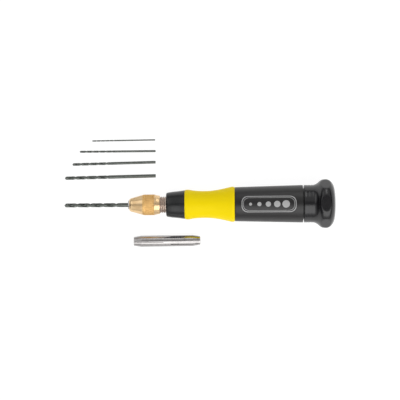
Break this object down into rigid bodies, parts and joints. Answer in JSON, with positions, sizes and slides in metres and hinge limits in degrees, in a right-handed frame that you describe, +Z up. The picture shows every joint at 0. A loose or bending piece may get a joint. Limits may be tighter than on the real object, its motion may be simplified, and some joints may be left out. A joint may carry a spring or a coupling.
{
  "type": "pin vise drill",
  "caption": "Hand drill with a screw-down brass chuck nut, slotted collet, soft grip sleeve and free-turning palm knob, with spare twist drills and a spare collet.",
  "frame": {"origin": "centre of the set's plan box, on the plane it rests on", "axes": "+X from the drill's point to the palm knob, +Z up; the tool's own axis leans down to the nose by 3.38 degrees"},
  "size_m": [0.1544, 0.0618, 0.0263],
  "materials": {
    "handle_body": "satin moulded black plastic",
    "nose_ferrule": "satin moulded black plastic",
    "grip_sleeve": "satin yellow elastomer",
    "chuck_nut": "turned brass, polished cone and matt band",
    "spindle": "machined thread, lightly oiled",
    "spindle_pin": "ground",
    "collet": "machined",
    "drill": "high-speed steel",
    "bearing_plug": "moulded black plastic",
    "thrust_washer": "natural nylon",
    "swivel_bush": "sintered bronze",
    "retaining_washer": "stamped",
    "swivel_screw": "zinc plated",
    "swivel_cap": "satin moulded black plastic",
    "cap_cover": "satin moulded black plastic",
    "spare_drill": "high-speed steel",
    "spare_collet": "machined",
    "badge": "printed ink"
  },
  "bodies": {
    "handle": {"handle_body": "handle_body", "grip_sleeve": "grip_sleeve", "nose_ferrule": "nose_ferrule", "spindle": "spindle", "spindle_pin": "spindle_pin", "bearing_plug": "bearing_plug", "thrust_washer": "thrust_washer", "retaining_washer": "retaining_washer", "swivel_screw": "swivel_screw"},
    "collet": {"collet": "collet"},
    "chuck_nut": {"chuck_nut": "chuck_nut"},
    "drill": {"drill": "drill"},
    "knob": {"swivel_cap": "swivel_cap", "swivel_bush": "swivel_bush", "cap_cover": "cap_cover"},
    "spare_drill_1": {"spare_drill_1": "spare_drill"},
    "spare_drill_2": {"spare_drill_2": "spare_drill"},
    "spare_drill_3": {"spare_drill_3": "spare_drill"},
    "spare_drill_4": {"spare_drill_4": "spare_drill"},
    "spare_collet": {"spare_collet": "spare_collet"}
  },
  "joints": [
    {"name": "chuck_travel", "type": "slide", "parent": "handle", "child": "collet", "axis": [-0.9983, 0, -0.0589], "range_m": [0, 0.00635]},
    {"name": "chuck_nut_turn", "type": "hinge", "parent": "collet", "child": "chuck_nut", "pos_m": [-0.02925, -0.00685, 0.00722], "axis": [-0.9983, 0, -0.0589], "range_deg": [0, 2160]},
    {"name": "drill_pull", "type": "slide", "parent": "collet", "child": "drill", "axis": [-0.9983, 0, -0.0589], "range_m": [0, 0.018]},
    {"name": "knob_swivel", "type": "hinge", "parent": "handle", "child": "knob", "pos_m": [0.06119, -0.00685, 0.01255], "axis": [0.9983, 0, 0.0589], "continuous": true},
    {"name": "spare_drill_1_lift", "type": "slide", "parent": "handle", "child": "spare_drill_1", "axis": [0, 0, 1], "range_m": [0, 0.04]},
    {"name": "spare_drill_2_lift", "type": "slide", "parent": "handle", "child": "spare_drill_2", "axis": [0, 0, 1], "range_m": [0, 0.04]},
    {"name": "spare_drill_3_lift", "type": "slide", "parent": "handle", "child": "spare_drill_3", "axis": [0, 0, 1], "range_m": [0, 0.04]},
    {"name": "spare_drill_4_lift", "type": "slide", "parent": "handle", "child": "spare_drill_4", "axis": [0, 0, 1], "range_m": [0, 0.04]},
    {"name": "spare_collet_lift", "type": "slide", "parent": "handle", "child": "spare_collet", "axis": [0, 0, 1], "range_m": [0, 0.04]}
  ],
  "couplings": [
    {"joint": "chuck_travel", "follows": "chuck_nut_turn", "m_per_rad": 0.00016839}
  ]
}
